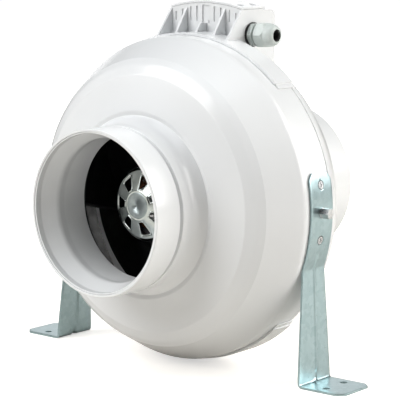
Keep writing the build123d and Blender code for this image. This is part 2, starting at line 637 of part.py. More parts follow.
def sheet_band(low, high, top_angle, bottom):
    """The strap and leg of the right foot, between two distances from its inner face."""
    bend = radians(STRAP_BEND_ANGLE)
    bend_x = (STRAP_RADIUS + 1) * cos(bend)
    bend_rise = (STRAP_RADIUS + 1) * sin(bend)
    with BuildSketch(Plane.XZ.offset(-along(FOOT_CENTRE + FOOT_WIDTH / 2))) as bent:
        with BuildLine():
            Polyline((bend_x + low - 1, above(bend_rise)), (bend_x + high - 1, above(bend_rise)),
                     (LEG_BOTTOM_X + high - SHEET, above(bottom)), (LEG_BOTTOM_X + low - SHEET, above(bottom)),
                     close=True)
        make_face()
    extrude(bent.sketch, amount=FOOT_WIDTH)
    sector(STRAP_RADIUS + low, STRAP_RADIUS + high, FOOT_CENTRE - FOOT_WIDTH / 2, FOOT_CENTRE + FOOT_WIDTH / 2,
           STRAP_BEND_ANGLE - 0.4, top_angle - STRAP_BEND_ANGLE + 0.4)


def side_trim(points):
    """Keep only what lies inside an outline of (depth, rise) points seen from the side."""
    with BuildSketch(Plane.YZ.offset(100)) as outline:
        with BuildLine():
            Polyline(*[(along(depth), above(rise)) for depth, rise in points], close=True)
        make_face()
    extrude(outline.sketch, amount=120, mode=Mode.INTERSECT)


STRAP_LOW = STRAP_CENTRE - STRAP_WIDTH / 2
STRAP_HIGH = STRAP_CENTRE + STRAP_WIDTH / 2
STRAP_TOP = STRAP_RADIUS * sin(radians(STRAP_TOP_ANGLE))
BEND_RISE = STRAP_RADIUS * sin(radians(STRAP_BEND_ANGLE))
HEEL_RISE = 8 - AXIS_HEIGHT
FOOT_LOW = FOOT_CENTRE - FOOT_WIDTH / 2
FOOT_HIGH = FOOT_CENTRE + FOOT_WIDTH / 2

with BuildPart() as bead:
    sheet_band(SHEET - 0.5, SHEET + 1.1, -14, -144)
    side_trim([(STRAP_CENTRE - 1.7, -37), (STRAP_CENTRE + 1.7, -37), (STRAP_CENTRE + 1.2, -144),
               (STRAP_CENTRE - 2.2, -144)])

with BuildPart() as right_foot:
    sheet_band(0, SHEET, STRAP_TOP_ANGLE, -AXIS_HEIGHT)
    side_trim([(STRAP_LOW + 7, STRAP_TOP + 2), (STRAP_HIGH - 7, STRAP_TOP + 2), (STRAP_HIGH, STRAP_TOP - 6),
               (STRAP_HIGH, BEND_RISE), (FOOT_HIGH, HEEL_RISE), (FOOT_HIGH, -AXIS_HEIGHT),
               (FOOT_LOW, -AXIS_HEIGHT), (FOOT_LOW, HEEL_RISE),
               (STRAP_LOW, BEND_RISE), (STRAP_LOW, STRAP_TOP - 6)])
    with BuildSketch(Plane.XY) as sole:
        with Locations(((LEG_BOTTOM_X - SHEET + FOOT_TIP) / 2, along(FOOT_CENTRE))):
            Rectangle(FOOT_TIP - LEG_BOTTOM_X + SHEET, FOOT_WIDTH)
        chamfer(sole.vertices().sort_by(Axis.X)[-2:], 6)
        with Locations((FOOT_HOLE_X, along(FOOT_CENTRE))):
            with GridLocations(0, FOOT_HOLE_SPACING, 1, 2):
                Circle(FOOT_HOLE_RADIUS, mode=Mode.SUBTRACT)
    extrude(sole.sketch, amount=SHEET)
    heel = right_foot.edges().filter_by(Axis.Y).filter_by_position(Axis.X, LEG_BOTTOM_X - 3, LEG_BOTTOM_X + 1)
    fillet(heel.filter_by_position(Axis.Z, -0.1, 0.1), 4)
    fillet(right_foot.edges().filter_by(Axis.Y).filter_by_position(Axis.Z, SHEET - 0.1, SHEET + 0.1)
           .filter_by_position(Axis.X, LEG_BOTTOM_X - 2, LEG_BOTTOM_X + 2), 2)
    add(bead.part)
    for angle in STRAP_HOLES:
        rod(outward(angle, STRAP_RADIUS, STRAP_CENTRE), 4.3, -3, 6, Mode.SUBTRACT)
    rod(outward(0, STRAP_RADIUS, STRAP_CENTRE), BOLT_RADIUS + 0.3, -3, 6, Mode.SUBTRACT)
finish(right_foot, "right_foot")

with BuildPart() as left_foot:
    add(right_foot.part)
    mirror(about=Plane.YZ, mode=Mode.REPLACE)
finish(left_foot, "left_foot")

with BuildPart() as foot_bolts:
    for hand in (0, 180):
        plane = outward(hand, STRAP_RADIUS + SHEET, STRAP_CENTRE)
        hexagon(plane, 8.6, 1.0, 8.8)
        rod(plane, BOLT_RADIUS - 0.05, -17, 1.2)
finish(foot_bolts, "foot_bolts")

with BuildPart() as foot_washers:
    for hand in (0, 180):
        plane = outward(hand, STRAP_RADIUS + SHEET, STRAP_CENTRE)
        rod(plane, 5.0, 0, 1.0)
        rod(plane, BOLT_RADIUS, -1, 2, Mode.SUBTRACT)
finish(foot_washers, "foot_washers")

with BuildPart() as foot_nuts:
    for hand in (0, 180):
        plane = outward(hand, 140.9, STRAP_CENTRE)
        hexagon(plane, 8, -4, 0)
        rod(plane, BOLT_RADIUS, -5, 1, Mode.SUBTRACT)
finish(foot_nuts, "foot_nuts")

with BuildPart() as casing_screws:
    for hand in (0, 180):
        for angle in STRAP_HOLES:
            plane = outward(hand + angle, BAND_RADIUS, STRAP_CENTRE)
            rod(plane, 3.6, 0.05, 2.3)
            rod(plane, 2.5, -10.5, 0.1)
            with BuildSketch(plane.offset(1.2)) as cross:
                Rectangle(4.2, 0.8)
                Rectangle(0.8, 4.2)
            extrude(cross.sketch, amount=3, mode=Mode.SUBTRACT)
finish(casing_screws, "casing_screws")
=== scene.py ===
import json
from math import cos, pi, radians, sin, sqrt, tan

import bmesh
import bpy
from mathutils import Matrix, Vector


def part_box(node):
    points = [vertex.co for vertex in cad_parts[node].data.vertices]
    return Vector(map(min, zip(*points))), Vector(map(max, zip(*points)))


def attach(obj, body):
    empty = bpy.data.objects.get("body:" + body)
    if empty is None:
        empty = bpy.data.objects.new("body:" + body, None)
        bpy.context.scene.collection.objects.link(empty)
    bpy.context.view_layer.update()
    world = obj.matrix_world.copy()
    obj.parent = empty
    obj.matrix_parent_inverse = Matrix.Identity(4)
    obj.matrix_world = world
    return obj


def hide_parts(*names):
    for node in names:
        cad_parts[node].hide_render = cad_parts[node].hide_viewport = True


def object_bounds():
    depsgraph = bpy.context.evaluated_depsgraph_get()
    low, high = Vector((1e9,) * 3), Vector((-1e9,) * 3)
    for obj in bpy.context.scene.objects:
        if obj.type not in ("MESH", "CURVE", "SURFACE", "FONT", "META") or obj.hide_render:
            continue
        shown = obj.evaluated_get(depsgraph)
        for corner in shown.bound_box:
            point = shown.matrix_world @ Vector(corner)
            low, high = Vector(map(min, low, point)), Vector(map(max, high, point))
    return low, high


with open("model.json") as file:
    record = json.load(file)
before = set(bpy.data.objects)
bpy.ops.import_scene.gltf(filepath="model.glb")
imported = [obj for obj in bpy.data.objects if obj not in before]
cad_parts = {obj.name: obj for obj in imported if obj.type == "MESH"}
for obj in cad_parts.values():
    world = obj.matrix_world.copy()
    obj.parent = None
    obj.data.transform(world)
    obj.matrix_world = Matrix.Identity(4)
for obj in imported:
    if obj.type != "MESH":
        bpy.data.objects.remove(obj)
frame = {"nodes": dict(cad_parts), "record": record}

cad_low, cad_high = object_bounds()
nodes = frame["nodes"]

MM = 0.001
front_low, front_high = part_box("front_casing")
AXIS_Z = (front_low.z + front_high.z) / 2
INLET_Y = front_low.y


# ---------------------------------------------------------------- materials

def material(name, **values):
    """A Principled material whose even values are set on the shader's own sockets."""
    made = bpy.data.materials.new(name)
    made.use_nodes = True
    shader = made.node_tree.nodes["Principled BSDF"]
    for socket, value in values.items():
        shader.inputs[socket.replace("_", " ")].default_value = value
    return made


def texture(made, kind, output, stretch=(1, 1, 1), **settings):
    """A texture that is fixed to the object, and its output socket."""
    tree = made.node_tree
    place = tree.nodes.new("ShaderNodeTexCoord")
    mapping = tree.nodes.new("ShaderNodeMapping")
    mapping.inputs["Scale"].default_value = stretch
    made_texture = tree.nodes.new(kind)
    for name, value in settings.items():
        socket = name.replace("_", " ").title()
        if socket in made_texture.inputs:
            made_texture.inputs[socket].default_value = value
        else:
            setattr(made_texture, name, value)
    tree.links.new(place.outputs["Object"], mapping.inputs["Vector"])
    tree.links.new(mapping.outputs["Vector"], made_texture.inputs["Vector"])
    return made_texture.outputs[output]


def noise(made, scale, detail=3.0, stretch=(1, 1, 1), distortion=0.0):
    """Soft noise with lumps about 1 / scale metres across."""
    return texture(made, "ShaderNodeTexNoise", "Fac", stretch,
                   scale=scale, detail=detail, distortion=distortion)


def cells(made, scale):
    """Random cells about 1 / scale metres across."""
    return texture(made, "ShaderNodeTexVoronoi", "Color", scale=scale)


def vary(made, socket, source, low, high, source_low=0.3, source_high=0.7):
    """Let a texture run one of the shader's values between low and high."""
    tree = made.node_tree
    spread = tree.nodes.new("ShaderNodeMapRange")
    spread.inputs["From Min"].default_value = source_low
    spread.inputs["From Max"].default_value = source_high
    spread.inputs["To Min"].default_value = low
    spread.inputs["To Max"].default_value = high
    tree.links.new(source, spread.inputs["Value"])
    tree.links.new(spread.outputs["Result"], tree.nodes["Principled BSDF"].inputs[socket])


def tint(made, source, *stops):
    """Colour the surface by a texture, through (place, colour) stops."""
    tree = made.node_tree
    ramp = tree.nodes.new("ShaderNodeValToRGB")
    while len(ramp.color_ramp.elements) < len(stops):
        ramp.color_ramp.elements.new(0.5)
    for element, (place, colour) in zip(ramp.color_ramp.elements, stops):
        element.position = place
        element.color = (*colour, 1)
    tree.links.new(source, ramp.inputs["Fac"])
    tree.links.new(ramp.outputs["Color"], tree.nodes["Principled BSDF"].inputs["Base Color"])


def relief(made, source, height):
    """Raise the surface by a texture, up to a height in metres, over any earlier relief."""
    tree = made.node_tree
    shader = tree.nodes["Principled BSDF"]
    bump = tree.nodes.new("ShaderNodeBump")
    bump.inputs["Distance"].default_value = height
    bump.inputs["Strength"].default_value = 1.0
    tree.links.new(source, bump.inputs["Height"])
    if shader.inputs["Normal"].is_linked:
        tree.links.new(shader.inputs["Normal"].links[0].from_socket, bump.inputs["Normal"])
    tree.links.new(bump.outputs["Normal"], shader.inputs["Normal"])


def white_plastic():
    """Glossy moulded plastic: a faint flow tint, slightly uneven gloss and a fine orange peel."""
    made = material("white_plastic", Roughness=0.22, IOR=1.5, Coat_Weight=0.2, Coat_Roughness=0.1)
    tint(made, noise(made, 9, 2), (0.3, (0.745, 0.755, 0.765)), (0.7, (0.765, 0.775, 0.78)))
    vary(made, "Roughness", noise(made, 40, 2), 0.22, 0.27)
    relief(made, noise(made, 45, 1), 0.00006)
    return made


def black_plastic():
    """Glass-filled black plastic with a fine grain and grey flow streaks."""
    made = material("black_plastic", IOR=1.5, Specular_IOR_Level=0.25)
    tint(made, noise(made, 60, 6, distortion=1.5),
         (0.35, (0.006, 0.006, 0.007)), (0.75, (0.016, 0.016, 0.017)))
    vary(made, "Roughness", noise(made, 150, 5), 0.30, 0.48)
    relief(made, noise(made, 2500, 3), 0.00003)
    return made


def zinc_sheet():
    """Galvanised sheet: crystals of differing blue-grey, dull spots and a fine grain."""
    made = material("zinc_sheet", Metallic=1.0)
    tint(made, cells(made, 260),
         (0.0, (0.34, 0.45, 0.47)), (0.5, (0.38, 0.49, 0.51)), (1.0, (0.42, 0.53, 0.55)))
    vary(made, "Roughness", noise(made, 500, 5), 0.27, 0.35)
    relief(made, noise(made, 1500, 4), 0.00002)
    return made


def zinc_fastener():
    """Bright zinc plating with tool marks."""
    made = material("zinc_fastener", Metallic=1.0)
    tint(made, noise(made, 300, 4), (0.35, (0.50, 0.51, 0.52)), (0.65, (0.66, 0.67, 0.68)))
    vary(made, "Roughness", noise(made, 700, 4), 0.20, 0.38)
    relief(made, noise(made, 2200, 3), 0.00003)
    return made


def motor_cap():
    """Stamped bright steel with drawing marks and a slightly green tone."""
    made = material("motor_cap", Metallic=1.0)
    tint(made, noise(made, 160, 5), (0.3, (0.46, 0.50, 0.485)), (0.7, (0.60, 0.64, 0.62)))
    vary(made, "Roughness", noise(made, 350, 5), 0.10, 0.20)
    relief(made, noise(made, 260, 3), 0.00008)
    return made


def foil():
    """Brushed foil plate on the motor's boss, greyer than the cap round it."""
    made = material("foil", Metallic=0.8)
    tint(made, noise(made, 220, 5), (0.3, (0.30, 0.345, 0.35)), (0.7, (0.40, 0.445, 0.45)))
    vary(made, "Roughness", noise(made, 600, 4), 0.30, 0.45)
    relief(made, noise(made, 1800, 3, stretch=(1, 1, 0.1)), 0.00002)
    return made


def motor_steel():
    """Black dip paint on steel."""
    made = material("motor_steel", IOR=1.5)
    tint(made, noise(made, 90, 4), (0.3, (0.012, 0.012, 0.013)), (0.7, (0.03, 0.03, 0.031)))
    vary(made, "Roughness", noise(made, 200, 4), 0.35, 0.55)
    relief(made, noise(made, 1200, 3), 0.00004)
    return made


def lamination():
    """Stacked silicon steel: half-millimetre sheets across the duct axis."""
    made = material("lamination", Metallic=1.0)
    tint(made, noise(made, 120, 4), (0.3, (0.20, 0.20, 0.21)), (0.7, (0.33, 0.33, 0.34)))
    vary(made, "Roughness", noise(made, 300, 3), 0.35, 0.55)
    stripes = texture(made, "ShaderNodeTexWave", "Fac", scale=320, bands_direction="Y")
    relief(made, stripes, 0.0001)
    return made


def bare_steel():
    """Ground steel with fine turning lines."""
    made = material("bare_steel", Metallic=1.0)
    tint(made, noise(made, 200, 4), (0.3, (0.52, 0.52, 0.53)), (0.7, (0.66, 0.66, 0.67)))
    vary(made, "Roughness", noise(made, 900, 3, stretch=(0.1, 1, 0.1)), 0.14, 0.28)
    relief(made, noise(made, 2600, 2, stretch=(0.05, 1, 0.05)), 0.00002)
    return made


def die_cast():
    """Die-cast aluminium with a grainy cast skin."""
    made = material("die_cast", Metallic=1.0)
    tint(made, noise(made, 130, 5), (0.3, (0.56, 0.57, 0.58)), (0.7, (0.70, 0.71, 0.72)))
    vary(made, "Roughness", noise(made, 260, 4), 0.36, 0.56)
    relief(made, noise(made, 1100, 4), 0.00008)
    return made


def copper():
    """Enamelled copper wire, wound round the stator's teeth."""
    made = material("copper", Metallic=0.9, Coat_Weight=0.6, Coat_Roughness=0.1)
    tint(made, noise(made, 240, 4), (0.3, (0.10, 0.036, 0.014)), (0.7, (0.17, 0.065, 0.026)))
    vary(made, "Roughness", noise(made, 500, 3), 0.22, 0.36)
    turns = texture(made, "ShaderNodeTexWave", "Fac", scale=260, distortion=3.0, wave_type="RINGS",
                    rings_direction="Y")
    relief(made, turns, 0.0003)
    return made


def gland_plastic():
    """Light greenish grey polyamide with a fine eroded texture."""
    made = material("gland_plastic", IOR=1.53)
    tint(made, noise(made, 140, 4), (0.3, (0.50, 0.55, 0.53)), (0.7, (0.57, 0.615, 0.595)))
    vary(made, "Roughness", noise(made, 400, 4), 0.34, 0.46)
    relief(made, noise(made, 2600, 3), 0.00004)
    return made


def rubber():
    """Matt black rubber with bloom."""
    made = material("rubber", IOR=1.45)
    tint(made, noise(made, 170, 5), (0.3, (0.012, 0.012, 0.012)), (0.75, (0.028, 0.028, 0.029)))
    vary(made, "Roughness", noise(made, 420, 4), 0.6, 0.82)
    relief(made, noise(made, 1800, 4), 0.00008)
    return made


def terminal_plastic():
    """Cream polyamide."""
    made = material("terminal_plastic", IOR=1.53)
    tint(made, noise(made, 120, 4), (0.3, (0.66, 0.63, 0.52)), (0.7, (0.74, 0.71, 0.60)))
    vary(made, "Roughness", noise(made, 380, 4), 0.38, 0.52)
    relief(made, noise(made, 2400, 3), 0.00004)
    return made


def capacitor_case():
    """Pale grey moulded case."""
    made = material("capacitor_case", IOR=1.5)
    tint(made, noise(made, 90, 4), (0.3, (0.62, 0.62, 0.60)), (0.7, (0.70, 0.70, 0.68)))
    vary(made, "Roughness", noise(made, 300, 4), 0.3, 0.42)
    relief(made, noise(made, 1500, 3), 0.00003)
    return made


def lead_sheath():
    """Dark grey PVC."""
    made = material("lead_sheath", IOR=1.5)
    tint(made, noise(made, 150, 4), (0.3, (0.035, 0.035, 0.037)), (0.7, (0.06, 0.06, 0.063)))
    vary(made, "Roughness", noise(made, 500, 3), 0.4, 0.55)
    relief(made, noise(made, 1600, 3), 0.00005)
    return made


finishes = {make.__name__: make() for make in (
    white_plastic, black_plastic, zinc_sheet, zinc_fastener, motor_cap, foil, motor_steel, lamination,
    bare_steel, die_cast, copper, gland_plastic, rubber, terminal_plastic, capacitor_case, lead_sheath)}
slot_of = {part["node"]: part["material_slot"] for part in frame["record"]["subparts"]}
for name, node in nodes.items():
    node.data.materials.clear()
    node.data.materials.append(None)
    node.material_slots[0].link = "OBJECT"
    node.material_slots[0].material = finishes[slot_of[name]]


# ---------------------------------------------------------------- turned pieces

EDGE_LOOP = 0.3
EDGE_LOOP_SHARE = 0.04
ARC_SHARE = 0.92
NEARLY_STRAIGHT = 1.56
FEWEST_STEPS = 3
WIDE_ARC = 12


def rounded(points, steps=5):
    """A closed outline whose corners, each (radius, depth, fillet), are rounded into short arcs.

    A line of points beside each arc keeps the faces between the arcs flat in the shading.
    """
    outline = []
    for index, (x, y, fillet) in enumerate(points):
        corner = Vector((x, y))
        before = Vector(points[index - 1][:2]) - corner
        after = Vector(points[(index + 1) % len(points)][:2]) - corner
        half_turn = before.angle(after) / 2
        if fillet == 0 or half_turn > NEARLY_STRAIGHT:
            outline.append(corner)
            continue
        reach = min(fillet / tan(half_turn), ARC_SHARE * before.length, ARC_SHARE * after.length)
        size = reach * tan(half_turn)
        centre = corner + (before.normalized() + after.normalized()).normalized() * size / sin(half_turn)
        start = corner + before.normalized() * reach - centre
        end = corner + after.normalized() * reach - centre
        turn = start.angle_signed(end)
        count = max(FEWEST_STEPS, round(steps * sqrt(abs(turn)) * (1 + size / WIDE_ARC)))
        margins = [min(EDGE_LOOP, EDGE_LOOP_SHARE * side.length) for side in (before, after)]
        outline.append(corner + before.normalized() * (reach + margins[0]))
        for step in range(count + 1):
            angle = -turn * step / count
            outline.append(centre + Vector((start.x * cos(angle) - start.y * sin(angle),
                                            start.x * sin(angle) + start.y * cos(angle))))
        outline.append(corner + after.normalized() * (reach + margins[1]))
    return outline


def offset_line(points, distance):
    """An open line of (x, y) points moved sideways by a distance, to the left of its direction."""
    moved = []
    for index, point in enumerate(points):
        here = Vector(point)
        ways = []
        if index > 0:
            ways.append((here - Vector(points[index - 1])).normalized())
        if index < len(points) - 1:
            ways.append((Vector(points[index + 1]) - here).normalized())
        normals = [Vector((-way.y, way.x)) for way in ways]
        middle = sum(normals, Vector((0, 0))).normalized()
        moved.append(here + middle * distance / middle.dot(normals[0]))
    return moved


def mesh_object(name, made, finish):
    """A smooth object from a bmesh that is built in frame coordinates."""
    bmesh.ops.recalc_face_normals(made, faces=made.faces)
    mesh = bpy.data.meshes.new(name)
    made.to_mesh(mesh)
    made.free()
    for face in mesh.polygons:
        face.use_smooth = True
    built = bpy.data.objects.new(name, mesh)
    bpy.context.scene.collection.objects.link(built)
    if finish:
        built.data.materials.append(finishes[finish])
    return built


def lathe(name, outline, finish, segments=160):
    """Turn a closed outline of (radius, depth) points about the duct axis."""
    made = bmesh.new()
    rings = []
    for step in range(segments):
        angle = 2 * pi * step / segments
        rings.append([made.verts.new((point[0] * MM * cos(angle), INLET_Y + point[1] * MM,
                                      AXIS_Z + point[0] * MM * sin(angle))) for point in outline])
    for step in range(segments):
        here, there = rings[step], rings[(step + 1) % segments]
        for index in range(len(outline)):
            after = (index + 1) % len(outline)
            made.faces.new((here[index], here[after], there[after], there[index]))
    return mesh_object(name, made, finish)


def prism(corners, deep_low, deep_high):
    """A straight block along the duct between two depths, from (x, rise) corners."""
    made = bmesh.new()
    ends = [[made.verts.new((x * MM, INLET_Y + deep * MM, AXIS_Z + rise * MM)) for x, rise in corners]
            for deep in (deep_low, deep_high)]
    made.faces.new(ends[0])
    made.faces.new(reversed(ends[1]))
    for index in range(len(corners)):
        after = (index + 1) % len(corners)
        made.faces.new((ends[0][index], ends[0][after], ends[1][after], ends[1][index]))
    return mesh_object("cutter", made, None)


def pin(angle, radius, low, high, depth):
    """A round bar that points outwards from the duct axis, between two radii."""
    made = bmesh.new()
    bmesh.ops.create_cone(made, cap_ends=True, segments=24, radius1=radius * MM, radius2=radius * MM,
                          depth=(high - low) * MM)
    way = Vector((cos(radians(angle)), 0, sin(radians(angle))))
    place = Vector((0, INLET_Y + depth * MM, AXIS_Z)) + way * (low + high) / 2 * MM
    turn = way.to_track_quat("Z", "Y").to_matrix().to_4x4()
    bmesh.ops.transform(made, verts=made.verts, matrix=Matrix.Translation(place) @ turn)
    return mesh_object("cutter", made, None)


FOOT_CUT_HEIGHT = 12


def upright_pin(x, depth, radius):
    """A round bar that stands through the foot plates."""
    made = bmesh.new()
    bmesh.ops.create_cone(made, cap_ends=True, segments=32, radius1=radius * MM, radius2=radius * MM,
                          depth=FOOT_CUT_HEIGHT * MM)
    bmesh.ops.translate(made, verts=made.verts, vec=(x * MM, INLET_Y + depth * MM, 0))
    return mesh_object("cutter", made, None)


def cut(piece, cutters):
    """Cut other shapes out of a piece, and clear them away."""
    for cutter in cutters:
        step = piece.modifiers.new("cut", "BOOLEAN")
        step.operation = "DIFFERENCE"
        step.object = cutter
        step.solver = "EXACT"
    result = bpy.data.meshes.new_from_object(piece.evaluated_get(bpy.context.evaluated_depsgraph_get()))
    piece.modifiers.clear()
    piece.data = result
    for cutter in cutters:
        bpy.data.objects.remove(cutter)


# The front shell: a spigot with a groove, a flared root with a crease, a front face and a ridge
SHELL = 2.5
SPIGOT_OUT = 74.5
SPIGOT_IN = 72.0
LINING = 69.1
GROOVE_FLOOR = 70.8
GROOVE_START, GROOVE_END = 30.5, 34.4
BAND_RADIUS = 150.0
SEAM_DEPTH = 146.5
SCREW_DEPTH = 131.3
SCREW_ANGLES = (-9.3, 0, 9.3)
SCREW_HOLE = 2.6
HOLE_INSIDE, HOLE_OUTSIDE = 145, 152.5
spigot_outer = [(SPIGOT_OUT, 0, 0.8), (SPIGOT_OUT, GROOVE_START, 0.2), (GROOVE_FLOOR, GROOVE_START, 0.1),
                (GROOVE_FLOOR, GROOVE_END, 0.1), (74.2, 35.2, 0.6)]
wall_outer = [(SPIGOT_OUT, 50.3, 23), (81.6, 60.0, 0.8), (85.5, 58.9, 3), (117.5, 66, 4), (126.5, 71.5, 20),
              (132, 77, 1.0), (BAND_RADIUS, 110, 12), (BAND_RADIUS, SEAM_DEPTH, 0.4)]
wall_line = offset_line([corner[:2] for corner in wall_outer], SHELL)
front_inner = [(BAND_RADIUS - SHELL, SEAM_DEPTH, 0.4)] + [(*point, 3) for point in reversed(wall_line[1:-1])]
front_inner += [(SPIGOT_IN, 49.0, 6), (SPIGOT_IN, 42, 1), (LINING, 38, 1), (LINING, 29, 1), (72.2, 25, 1),
                (SPIGOT_IN, 0, 0.5)]
front_shell = lathe("front_shell", rounded(spigot_outer + wall_outer + front_inner), "white_plastic")
cut(front_shell, [pin(side + angle, SCREW_HOLE, HOLE_INSIDE, HOLE_OUTSIDE, SCREW_DEPTH)
                  for side in (0, 180) for angle in SCREW_ANGLES])
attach(front_shell, "casing")
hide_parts("front_casing")

# The bell mouth: the ring that narrows the inlet towards the impeller
nozzle = lathe("bell_mouth", rounded([
    (70.6, 0.8, 0.5), (70.6, 7, 4), (64.1, 23, 12), (65.4, 32, 20), (66.4, 60, 0.5),
    (67.8, 60, 0.5), (67.0, 32, 20), (66.2, 24.5, 8), (71.9, 12.5, 3), (71.9, 0.8, 0.4)], 7), "white_plastic")
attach(nozzle, "casing")
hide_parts("inlet_nozzle")

# The motor's stamped end cap: a dish with rounded windows, each with a rolled lip
WINDOWS = 7
WINDOW_START = 25
WINDOW_NEAR, WINDOW_FAR = 55, 80
LIP_RADIUS = 0.75
LIP_SIDES = 10
LIP_LIFT = 0.25
CAP_SEGMENTS = 96
DISH = [(13.4, 58.6), (31, 65.5)]
window = rounded([(15.0, 2.9, 1.6), (27.6, 6.6, 2.2), (27.6, -6.6, 2.2), (15.0, -2.9, 1.6)])


def turned_about_axis(points, angle):
    """Points in the plane across the duct, turned about its axis."""
    return [(x * cos(angle) - y * sin(angle), x * sin(angle) + y * cos(angle)) for x, y in points]


def window_angle(count):
    """The angle of one of the windows, counted round the axis."""
    return radians(WINDOW_START) + 2 * pi * count / WINDOWS


def dish_depth(radius):
    """The depth of the end cap's dished face at a radius."""
    (near, start), (far, end) = DISH
    return start + (end - start) * (radius - near) / (far - near)


def window_lips():
    """The rolled lips round all windows, as round beads that lie on the dish."""
    made = bmesh.new()
    along_duct = Vector((0, 1, 0))
    lip_turns = [2 * pi * k / LIP_SIDES for k in range(LIP_SIDES)]
    for count in range(WINDOWS):
        line = [Vector((x, dish_depth(sqrt(x * x + y * y)) + LIP_LIFT, y))
                for x, y in turned_about_axis(window, window_angle(count))]
        rings = []
        for index, point in enumerate(line):
            way = (line[(index + 1) % len(line)] - line[index - 1]).normalized()
            across = way.cross(along_duct).normalized()
            ring = [point + (across * cos(turn) + along_duct * sin(turn)) * LIP_RADIUS for turn in lip_turns]
            rings.append([made.verts.new(corner * MM + Vector((0, INLET_Y, AXIS_Z))) for corner in ring])
        for index, here in enumerate(rings):
            there = rings[(index + 1) % len(rings)]
            for k in range(LIP_SIDES):
                after = (k + 1) % LIP_SIDES
                made.faces.new((here[k], here[after], there[after], there[k]))
    return mesh_object("cap_window_lips", made, "motor_cap")


end_cap = lathe("end_cap", rounded([
    (5, 58.6, 0), (*DISH[0], 1.2), (*DISH[1], 2.5), (34, 68.5, 2), (34, 72, 0.2), (32.8, 72, 0.2),
    (32.8, 69.1, 1), (30.4, 66.8, 2), (13.0, 59.8, 1), (8, 59.8, 0.5), (8, 75, 0.3), (5, 75, 0.3)]),
    "motor_cap", CAP_SEGMENTS)
cut(end_cap, [prism(turned_about_axis(window, window_angle(count)), WINDOW_NEAR, WINDOW_FAR)
              for count in range(WINDOWS)])
lips = window_lips()
for piece in (end_cap, lips):
    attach(piece, "impeller")
    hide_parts("rotor_end_cap")
disc = lathe("boss_plate", rounded([
    (0.01, 58.15, 0), (11.2, 58.15, 0.2), (12, 58.5, 0.2), (12, 58.6, 0), (0.01, 58.6, 0)]),
    "foil", CAP_SEGMENTS)
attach(disc, "impeller")
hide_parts("boss_disc")


# ---------------------------------------------------------------- feet

# Centres, tops and ends are depths, rises or distances from the axis. Angles are in degrees from +X.
STRAP_CENTRE = SCREW_DEPTH
STRAP_HALF = 15.65
STRAP_TOP = 35.35
STRAP_MIDDLE = 151.3
STRAP_TOP_ANGLE = 13.6
FOOT_CENTRE = 128.5
FOOT_HALF = 23.0
FOOT_TIP = 193.0
CORNER = 6
STRAP_CORNER_SLOPE = 7 / 8
SHEET_HALF = 1.0
BEND_ANGLE = -19.5
SHEET_RISE = -153.0
HEEL = Vector((147.0, SHEET_RISE))
HEEL_RADIUS = 3.0
BEAD_TOP, BEAD_BOTTOM = -37.0, -144.0
BEAD_HALF, BEAD_HEIGHT, BEAD_SWELL = 3.0, 1.1, 2.4
BEAD_LEAN, BEAD_RUNOUT = 0.5, 3
DIMPLE_HEIGHT, DIMPLE_HALF, DIMPLE_REACH = 1.6, 4, 9
TAPER_START, TAPER_END = -50.5, -146.0
HOLE_FROM_AXIS, HOLE_OFFSET, HOLE_RADIUS = 170.0, 13.25, 3.25
SCREW_WINDOW, BOLT_HOLE, STRAP_OUTSIDE = 4.3, 2.8, 158
EDGE_ROUNDING = 0.35
STRAP_STEPS, LEG_STEPS, HEEL_STEPS, PLATE_STEPS = 36, 48, 7, 24
SIDE_STEPS, BEAD_STEPS = 7, 16


def foot_path():
    """Places along the middle of the right foot's sheet, from the strap's top to the tip of the foot.

    Each is its (x, rise) and the way outwards, square to the sheet.
    """
    places = []
    for step in range(STRAP_STEPS + 1):
        angle = radians(STRAP_TOP_ANGLE + (BEND_ANGLE - STRAP_TOP_ANGLE) * step / STRAP_STEPS)
        way = Vector((cos(angle), sin(angle)))
        places.append((way * STRAP_MIDDLE, way))
    bend = places[-1][0]
    down = (HEEL - bend).normalized()
    leg_out = Vector((-down.y, down.x))
    places[-1] = (bend, (places[-1][1] + leg_out).normalized())
    leg_end = HEEL - down * HEEL_RADIUS
    for step in range(1, LEG_STEPS + 1):
        places.append((bend + (leg_end - bend) * step / LEG_STEPS, leg_out))
    centre = leg_end + leg_out * HEEL_RADIUS
    for step in range(1, HEEL_STEPS + 1):
        angle = leg_out.angle(Vector((0, 1))) * step / HEEL_STEPS
        way = Vector((leg_out.x * cos(angle) - leg_out.y * sin(angle),
                      leg_out.x * sin(angle) + leg_out.y * cos(angle)))
        places.append((centre - way * HEEL_RADIUS, way))
    plate_start = places[-1][0].x
    for step in range(1, PLATE_STEPS + 1):
        x = plate_start + (FOOT_TIP - plate_start) * step / PLATE_STEPS
        places.append((Vector((x, SHEET_RISE)), Vector((0, 1))))
    return places


def foot_edges(place):
    """The two depths of the sheet's edges at a place along the foot."""
    x, rise = place
    if rise > TAPER_START:
        centre, half_width = STRAP_CENTRE, STRAP_HALF
        inset = max(0, (rise - STRAP_TOP + CORNER) * STRAP_CORNER_SLOPE)
    else:
        share = min(1, (TAPER_START - rise) / (TAPER_START - TAPER_END))
        centre = STRAP_CENTRE + (FOOT_CENTRE - STRAP_CENTRE) * share
        half_width = STRAP_HALF + (FOOT_HALF - STRAP_HALF) * share
        inset = max(0, x - FOOT_TIP + CORNER)
    return centre - half_width + inset, centre + half_width - inset


def swell(value, half_width):
    """A smooth hump one unit high that ends at plus and minus half_width."""
    return cos(min(abs(value) / half_width, 1) * pi / 2) ** 2


